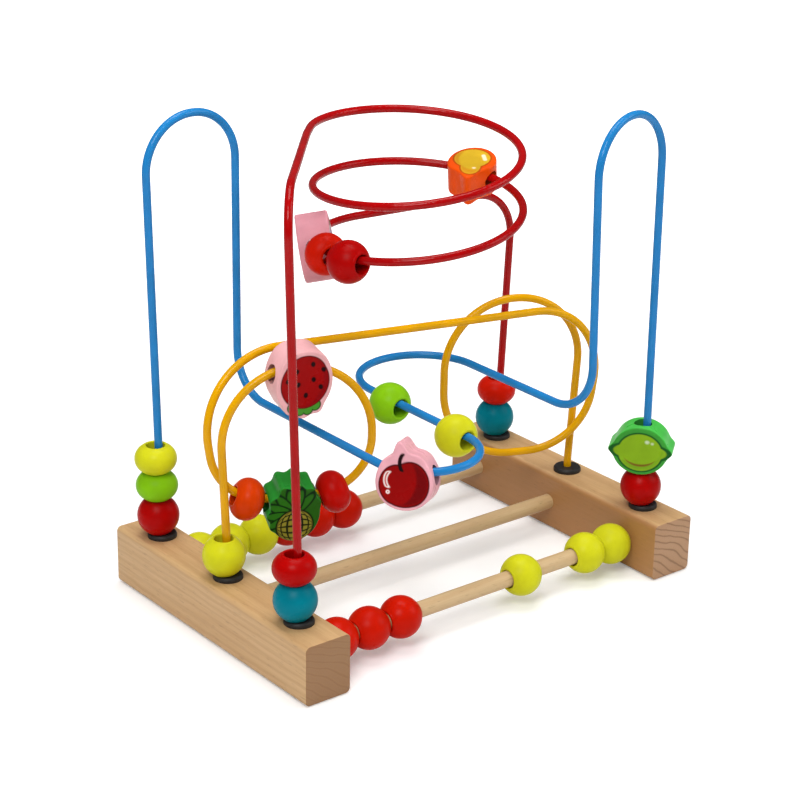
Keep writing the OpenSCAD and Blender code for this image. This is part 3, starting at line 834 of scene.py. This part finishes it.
def apple_picture(x, y, tint):
    """A red apple, fuller on the right: dark edge, shaded side, bent stalk and an outlined highlight."""
    body = join(oval(x, y, -3.2, -1.6, 8.0, 8.8), oval(x, y, 2.8, -0.7, 8.6, 9.8),
                oval(x, y, 0, -4.4, 9.4, 6.8))
    tint = lay(tint, cover(body - 0.7), 84, 6, 10)
    tint = lay(tint, cover(body), 150, 5, 5)
    shade = np.maximum(body + 0.3, -oval(x, y, -4.6, 0.8, 10.4, 12.4))
    tint = lay(tint, cover(shade, 0.8) * 0.8, 104, 4, 8)
    tint = lay(tint, cover(bow(x, y, 4.2, 9.0, 6.8, 3.4) - 0.9), 30, 12, 12)
    arc = bow(x, y, -3.4, 0.6, 5.4, 3.0)
    for reach, rgb in ((0.95, (252, 236, 232)), (0.35, (196, 84, 80))):
        tint = lay(tint, cover(join(arc - reach, oval(x, y, -7.2, -5.2, reach, reach)), 0.25), *rgb)
    return tint


SEEDS = ((3.6, 9.6), (9.0, 6.4), (4.2, 1.8), (8.0, -2.4), (0.6, -5.8), (-4.4, 6.6), (-8.6, 2.4),
         (-3.4, 0.0), (-6.4, -5.4))


def berry_picture(x, y, tint):
    """A strawberry with its leaves down: a small green frill under a red egg with a few large seeds."""
    frill = join(*[oval(x, y, c, -13.4 + 0.06 * c * c, 2.3, 2.4) for c in (-5.7, -1.9, 1.9, 5.7)])
    tint = lay(tint, cover(frill - 0.6), 16, 58, 20)
    tint = lay(tint, cover(frill), 74, 148, 46)
    body = join(oval(x, y, 0, 0.4, 11.7, 12.4), oval(x, y, 0, 3.6, 10.4, 10.2))
    tint = lay(tint, cover(body - 0.6), 92, 6, 12)
    tint = lay(tint, cover(body), 160, 6, 6)
    shade = np.maximum(body + 0.3, -oval(x, y, -2.6, 1.6, 12.0, 13.4))
    tint = lay(tint, cover(shade, 0.9) * 0.6, 128, 6, 14)
    for cx, cy in SEEDS:
        tint = lay(tint, cover(oval(x, y, cx, cy, 1.1, 1.4, 4 * cx), 0.3), 34, 6, 8)
    return tint


# %% Pineapple and pear pictures
LEAVES = np.radians(40 - 26 * np.arange(7))
GRID_STEP, PEAR_LEAN = 0.45, np.radians(25)


def pine_picture(x, y, tint):
    """A pineapple: dark-edged leaves fanned to one side of an olive oval with a globe-like grid."""
    tint = lay(tint, np.ones(len(x)), 40, 102, 22)
    for a in LEAVES:
        leaf = oval(x, y, -0.6 + 7.6 * np.sin(a), 0.4 + 7.8 * np.cos(a), 2.3, 7.4, -np.degrees(a))
        tint = lay(tint, cover(leaf), 44, 114, 26)
        tint = lay(tint, cover(np.abs(leaf) - 0.4), 6, 40, 12)
    wide, tall = 8.6, 8.8
    u, v = (x + 0.2) / wide, (y + 6.0) / tall
    body = oval(x, y, -0.2, -6.0, wide, tall)
    tint = lay(tint, cover(body - 0.8), 8, 30, 10)
    tint = lay(tint, cover(body), 152, 146, 52)
    for along, athwart in ((u, v), (v, u)):
        chord = np.sqrt(np.clip(1.001 - athwart ** 2, 0.001, 1))
        line = np.arcsin(np.clip(along / chord, -1, 1)) / GRID_STEP
        bar = np.maximum(np.abs(line - np.round(line)) * 3.4 - 0.5, body + 0.2)
        tint = lay(tint, cover(bar, 0.16), 24, 34, 10)
    return tint


def pear_picture(x, y, tint):
    """A yellow pear laid aslant, with an orange edge, a shaded side and pale highlights."""
    c, s = np.cos(PEAR_LEAN), np.sin(PEAR_LEAN)
    x, y = x * c + y * s, y * c - x * s
    body = join(oval(x, y, 0, 1.6, 8.8, 8.6), oval(x, y, 0, -6.4, 4.8, 6.8))
    tint = lay(tint, cover(body - 0.9), 190, 78, 8)
    tint = lay(tint, cover(body), 218, 178, 40)
    shade = np.maximum(body + 0.4, -oval(x, y, 2.0, 1.4, 8.6, 10.6))
    tint = lay(tint, cover(shade, 0.7) * 0.7, 206, 130, 22)
    shine = join(stroke(x, y, (6.4, 0.6), (5.2, 4.6), 1.9), oval(x, y, 1.8, -7.6, 0.9, 0.7))
    return lay(tint, cover(shine, 0.35), 252, 236, 200)


# %% Lime and plum pictures


def lime_picture(x, y, tint):
    """A lime with two pointed tips: dark edge, yellow-green flesh, a brown crescent and pale dots."""
    tint = lay(tint, np.ones(len(x)), 62, 156, 56)
    body = join(oval(x, y, 0, -0.5, 11.0, 9.9), oval(x, y, 0, -0.2, 13.4, 4.6))
    tint = lay(tint, cover(body - 0.9), 24, 92, 32)
    tint = lay(tint, cover(body), 136, 178, 28)
    shade = np.maximum(body + 0.6, -oval(x, y, -0.6, 1.8, 11.6, 9.4))
    tint = lay(tint, cover(shade, 0.6) * 0.6, 108, 160, 30)
    crescent = np.maximum(oval(x, y, 0, -2.2, 8.2, 6.0), -oval(x, y, 0, -0.4, 9.6, 6.5))
    tint = lay(tint, cover(crescent, 0.3), 122, 98, 26)
    dots = join(oval(x, y, 3.4, 5.4, 1.1, 0.9), oval(x, y, 6.0, 4.8, 0.7, 0.6))
    return lay(tint, cover(dots, 0.5) * 0.8, 214, 226, 196)


def plum_picture(x, y, tint):
    """A purple plum with its seam, a stalk and a leaf."""
    body = oval(x, y, 0, -1.2, 9.0, 10.4)
    tint = lay(tint, cover(body - 0.7), 52, 14, 58)
    tint = lay(tint, cover(body), 122, 44, 122)
    seam = np.maximum(np.abs(np.hypot(x + 9.0, y + 1.2) - 10.2) - 0.35, body + 0.3)
    tint = lay(tint, cover(seam), 74, 20, 80)
    tint = lay(tint, cover(stroke(x, y, (0, 8.8), (0.8, 12.6), 1.2)), 62, 34, 16)
    tint = lay(tint, cover(oval(x, y, 3.6, 10.6, 3.4, 1.6, 24)), 60, 134, 44)
    return lay(tint, cover(stroke(x, y, (-5.4, -0.5), (-4.2, 3.2), 1.4), 0.35), 224, 184, 222)


# %% Where the fruit beads sit
APPLE_BEND, APPLE_TURN, APPLE_IN, APPLE_HANG = 5, 36.5, 1.9, 1
BERRY_BEND, BERRY_TURN, BERRY_SWING = 3, 1.0, 7
LOW_BENDS, PEAR_ANGLE, PLUM_ANGLE = (4, 5), -341, -577
LOOP_HANG, COIL_HANG = 2, 1.6
LIME_Z, LIME_FACE, LIME_SHIFT = 63.4, 51, np.array([-1.7, 1.3, 0])
apple_at, apple_way = [v[0] for v in on_bend(blue, blue_r, APPLE_BEND, np.radians(APPLE_TURN))]
apple_at = apple_at + APPLE_IN * unit(bend(blue, blue_r, APPLE_BEND)[0] - apple_at) - APPLE_HANG * up
berry_at, berry_way = [v[0] for v in on_bend(yellow, yellow_r, BERRY_BEND, np.radians(BERRY_TURN))]
berry_way = turn_about("Z", BERRY_SWING) @ berry_way
low_turn = bend(yellow, yellow_r, LOW_BENDS[0])[3]
low_start = on_bend(yellow, yellow_r, LOW_BENDS[0], low_turn)[0][0]
low_end = on_bend(yellow, yellow_r, LOW_BENDS[1], 0)[0][0]
pine_at, pine_way = (low_start + low_end) / 2, unit(low_start - low_end)
leg_top, leg_foot = blue[-3], blue[-2]
lime_share = (LIME_Z - LEAN_Z) / (leg_top[2] - LEAN_Z)
lime_at = leg_foot + (leg_top - leg_foot) * lime_share + LIME_SHIFT
lime_turn = turn_about("Z", -LIME_FACE) @ turn_about("X", 90) @ turn_about("Z", 90)
print("apple at", apple_at.round(1), "and pineapple at", pine_at.round(1))

# %% What each fruit bead is
fruit = {
    "run_apple": dict(
        half=(13.6, 13.2), drop=3.5, at=apple_at, turn=threaded(apple_way, 78),
        bumps=[(101, 0.42, 11), (62, 0.07, 20), (135, 0.05, 16), (225, 0.03, 30), (315, 0.03, 30)],
        base=(238, 174, 184), picture=apple_picture),
    "loop_strawberry": dict(
        half=(14.2, 16.3), drop=3.5, at=berry_at - LOOP_HANG * up, turn=threaded(berry_way, 94),
        bumps=[(55, 0.05, 25), (125, 0.05, 25), (238, 0.08, 12), (270, 0.10, 13), (302, 0.12, 12)],
        base=(244, 184, 186), picture=berry_picture),
    "loop_pineapple": dict(
        half=(12.2, 15), drop=3.8, at=pine_at - LOOP_HANG * up, turn=threaded(pine_way, 100),
        bumps=[(22, 0.10, 10), (52, 0.16, 11), (84, 0.14, 11), (118, 0.18, 11), (150, 0.16, 11),
               (180, 0.14, 10), (206, 0.10, 9)],
        base=(44, 146, 50), picture=pine_picture),
    "coil_pear": dict(
        half=(11.8, 13), drop=0.0, at=coil(PEAR_ANGLE)[0] - COIL_HANG * up,
        turn=threaded(coil_way(PEAR_ANGLE), 14),
        bumps=[(115, 0.02, 40), (257, -0.08, 16), (333, -0.08, 16), (295, 0.32, 13)],
        base=(246, 84, 10), picture=pear_picture),
    "coil_plum": dict(
        half=(13, 15.8), drop=4.0, at=coil(PLUM_ANGLE)[0] - COIL_HANG * up,
        turn=threaded(coil_way(PLUM_ANGLE), 80),
        bumps=[(90, 0.16, 12), (60, 0.03, 20), (120, 0.03, 20)],
        base=(228, 156, 168), picture=plum_picture),
    "right_front_lime": dict(
        half=(12.8, 14), drop=0.0, at=lime_at, turn=lime_turn,
        bumps=[(90, 0.16, 11), (270, 0.16, 11)],
        base=(78, 200, 80), picture=lime_picture)}
print("fruit beads:", len(fruit))

# %% Saw, drill and print the fruit beads
FRUIT_T, FRUIT_SOFT, PRINT_WRAP, BORE_PAINTED_SHADE = 16.0, 1.1, 0.5, 0.6
for node, shape in fruit.items():
    outline = fruit_outline(shape["half"], shape["bumps"])
    points, faces = sawn(outline, FRUIT_T, FRUIT_SOFT, face_rows=48, side_rows=36)
    x, y = points[:, 0], points[:, 1]
    base = srgb(*shape["base"])
    tint = np.broadcast_to(base, (len(points), 3)).copy()
    flat = np.abs(points[:, 2]) > FRUIT_T / 2 - PRINT_WRAP
    # The lime's bore stands upright, so its picture lies a quarter turn round
    face_x, face_y = (-y, x) if node == "right_front_lime" else (x, y)
    printed = shape["picture"](face_x, face_y, tint)
    tint[flat] = printed[flat]
    points, faces = drill(points - [0, shape["drop"], 0], faces, BORE_R)
    lining, lining_faces = bore_tube(outline, shape["drop"], BORE_R)
    faces = [*faces, *(lining_faces + len(points))]
    # Painted shade in the bore: its lining takes the base colour darkened
    tint = np.concatenate([tint, np.broadcast_to(base * BORE_PAINTED_SHADE, (len(lining), 3))])
    points = np.concatenate([points, lining]) @ shape["turn"].T + shape["at"]
    finish = finish_from(f"{slot_of[node]}_print", PAINT, {}, bump=0.1, tint="Paint",
                         Specular_IOR_Level=0.08)
    make_piece(f"{node}_sawn", points, faces, node, node, finish, tint)
    print(node, len(points), "points")

# %% [markdown]
# ## Stage, light and camera
# The maze stands on a plain white floor under soft studio light. The floor adds a little light of its own
# for the camera only, and more of it farther out, so it looks white and still keeps the shadows near the
# blocks. The room round the stage is dim in reflections, so paint looks deep and shows the lamps as small
# highlights. The camera stands to the front left and a little above, where the solved view puts it.

# %% Floor
FLOOR_SIZE, FLOOR_GAP = 12, 0.0005
GLOW_NEAR, GLOW_FAR = (0.15, 0.21), (0.7, 0.9)
bpy.ops.mesh.primitive_plane_add(size=FLOOR_SIZE, location=(0, 0, -FLOOR_GAP))
floor = bpy.context.object
floor.name = "floor"
floor_finish = bpy.data.materials.new("white_floor")
floor_finish.use_nodes = True
floor_tree = floor_finish.node_tree
floor_shader = floor_tree.nodes["Principled BSDF"]
floor_shader.inputs["Base Color"].default_value = (0.86, 0.86, 0.86, 1)
floor_shader.inputs["Roughness"].default_value = 0.7
floor_shader.inputs["Specular IOR Level"].default_value = 0.2
floor_shader.inputs["Emission Color"].default_value = WHITE
ray = floor_tree.nodes.new("ShaderNodeLightPath").outputs["Is Camera Ray"]
away = floor_tree.nodes.new("ShaderNodeVectorMath")
away.operation = "LENGTH"
floor_tree.links.new(floor_tree.nodes.new("ShaderNodeTexCoord").outputs["Object"], away.inputs[0])
glow = remap(floor_tree, away.outputs["Value"], GLOW_NEAR[0], GLOW_FAR[0], GLOW_NEAR[1], GLOW_FAR[1])
floor_tree.links.new(math(floor_tree, "MULTIPLY", ray, glow), floor_shader.inputs["Emission Strength"])
floor.data.materials.append(floor_finish)
print("floor:", FLOOR_SIZE, "m wide")

# %% World
ROOM, ROOM_MIRRORED = 0.38, 0.08
world = bpy.data.worlds.new("studio")
bpy.context.scene.world = world
world.use_nodes = True
sky = world.node_tree.nodes["Background"]
sky.inputs["Color"].default_value = WHITE
light_path = world.node_tree.nodes.new("ShaderNodeLightPath")
mirrored = remap(world.node_tree, light_path.outputs["Is Glossy Ray"], 0.0, 1.0, ROOM, ROOM_MIRRORED)
seen = math(world.node_tree, "MAXIMUM", mirrored, light_path.outputs["Is Camera Ray"])
seen = math(world.node_tree, "MAXIMUM", seen, light_path.outputs["Is Transmission Ray"])
world.node_tree.links.new(seen, sky.inputs["Strength"])
print("room light:", ROOM, "and in reflections", ROOM_MIRRORED)

# %% Lamps


def softbox(name, place, aim, size, power):
    """A square area lamp that looks from a place towards a point."""
    lamp = bpy.data.lights.new(name, "AREA")
    lamp.size = size
    lamp.energy = power
    holder = bpy.data.objects.new(name, lamp)
    bpy.context.scene.collection.objects.link(holder)
    holder.location = place
    holder.rotation_euler = (Vector(aim) - Vector(place)).to_track_quat("-Z", "Y").to_euler()


softbox("key", (-0.9, -0.7, 1.3), (0, 0, 0.08), 0.7, 13.5)
softbox("fill", (1.1, -0.9, 0.9), (0, 0, 0.08), 0.8, 5)
softbox("top", (0.1, 0.1, 1.6), (0, 0, 0), 0.9, 13)
print("lamps: 3")

# %% Camera
FOCAL_PX, IMAGE_PX, SENSOR = 2247.48, 800, 36
lens = bpy.data.cameras.new("camera")
lens.sensor_width = SENSOR
lens.lens = FOCAL_PX / IMAGE_PX * SENSOR
lens.clip_end = 50
camera = bpy.data.objects.new("camera", lens)
bpy.context.scene.collection.objects.link(camera)
camera.location = (-0.64523, -0.79976, 0.50518)
ahead, right = Vector((0.579969, 0.725463, -0.370592)), Vector((0.785017, -0.619260, 0.016286))
camera.rotation_euler = Matrix((right, right.cross(ahead), -ahead)).transposed().to_euler()
bpy.context.scene.camera = camera
bpy.context.scene.view_settings.view_transform = "Standard"
print("lens:", round(lens.lens, 1), "mm")

# %% Update the scene
bpy.context.view_layer.update()
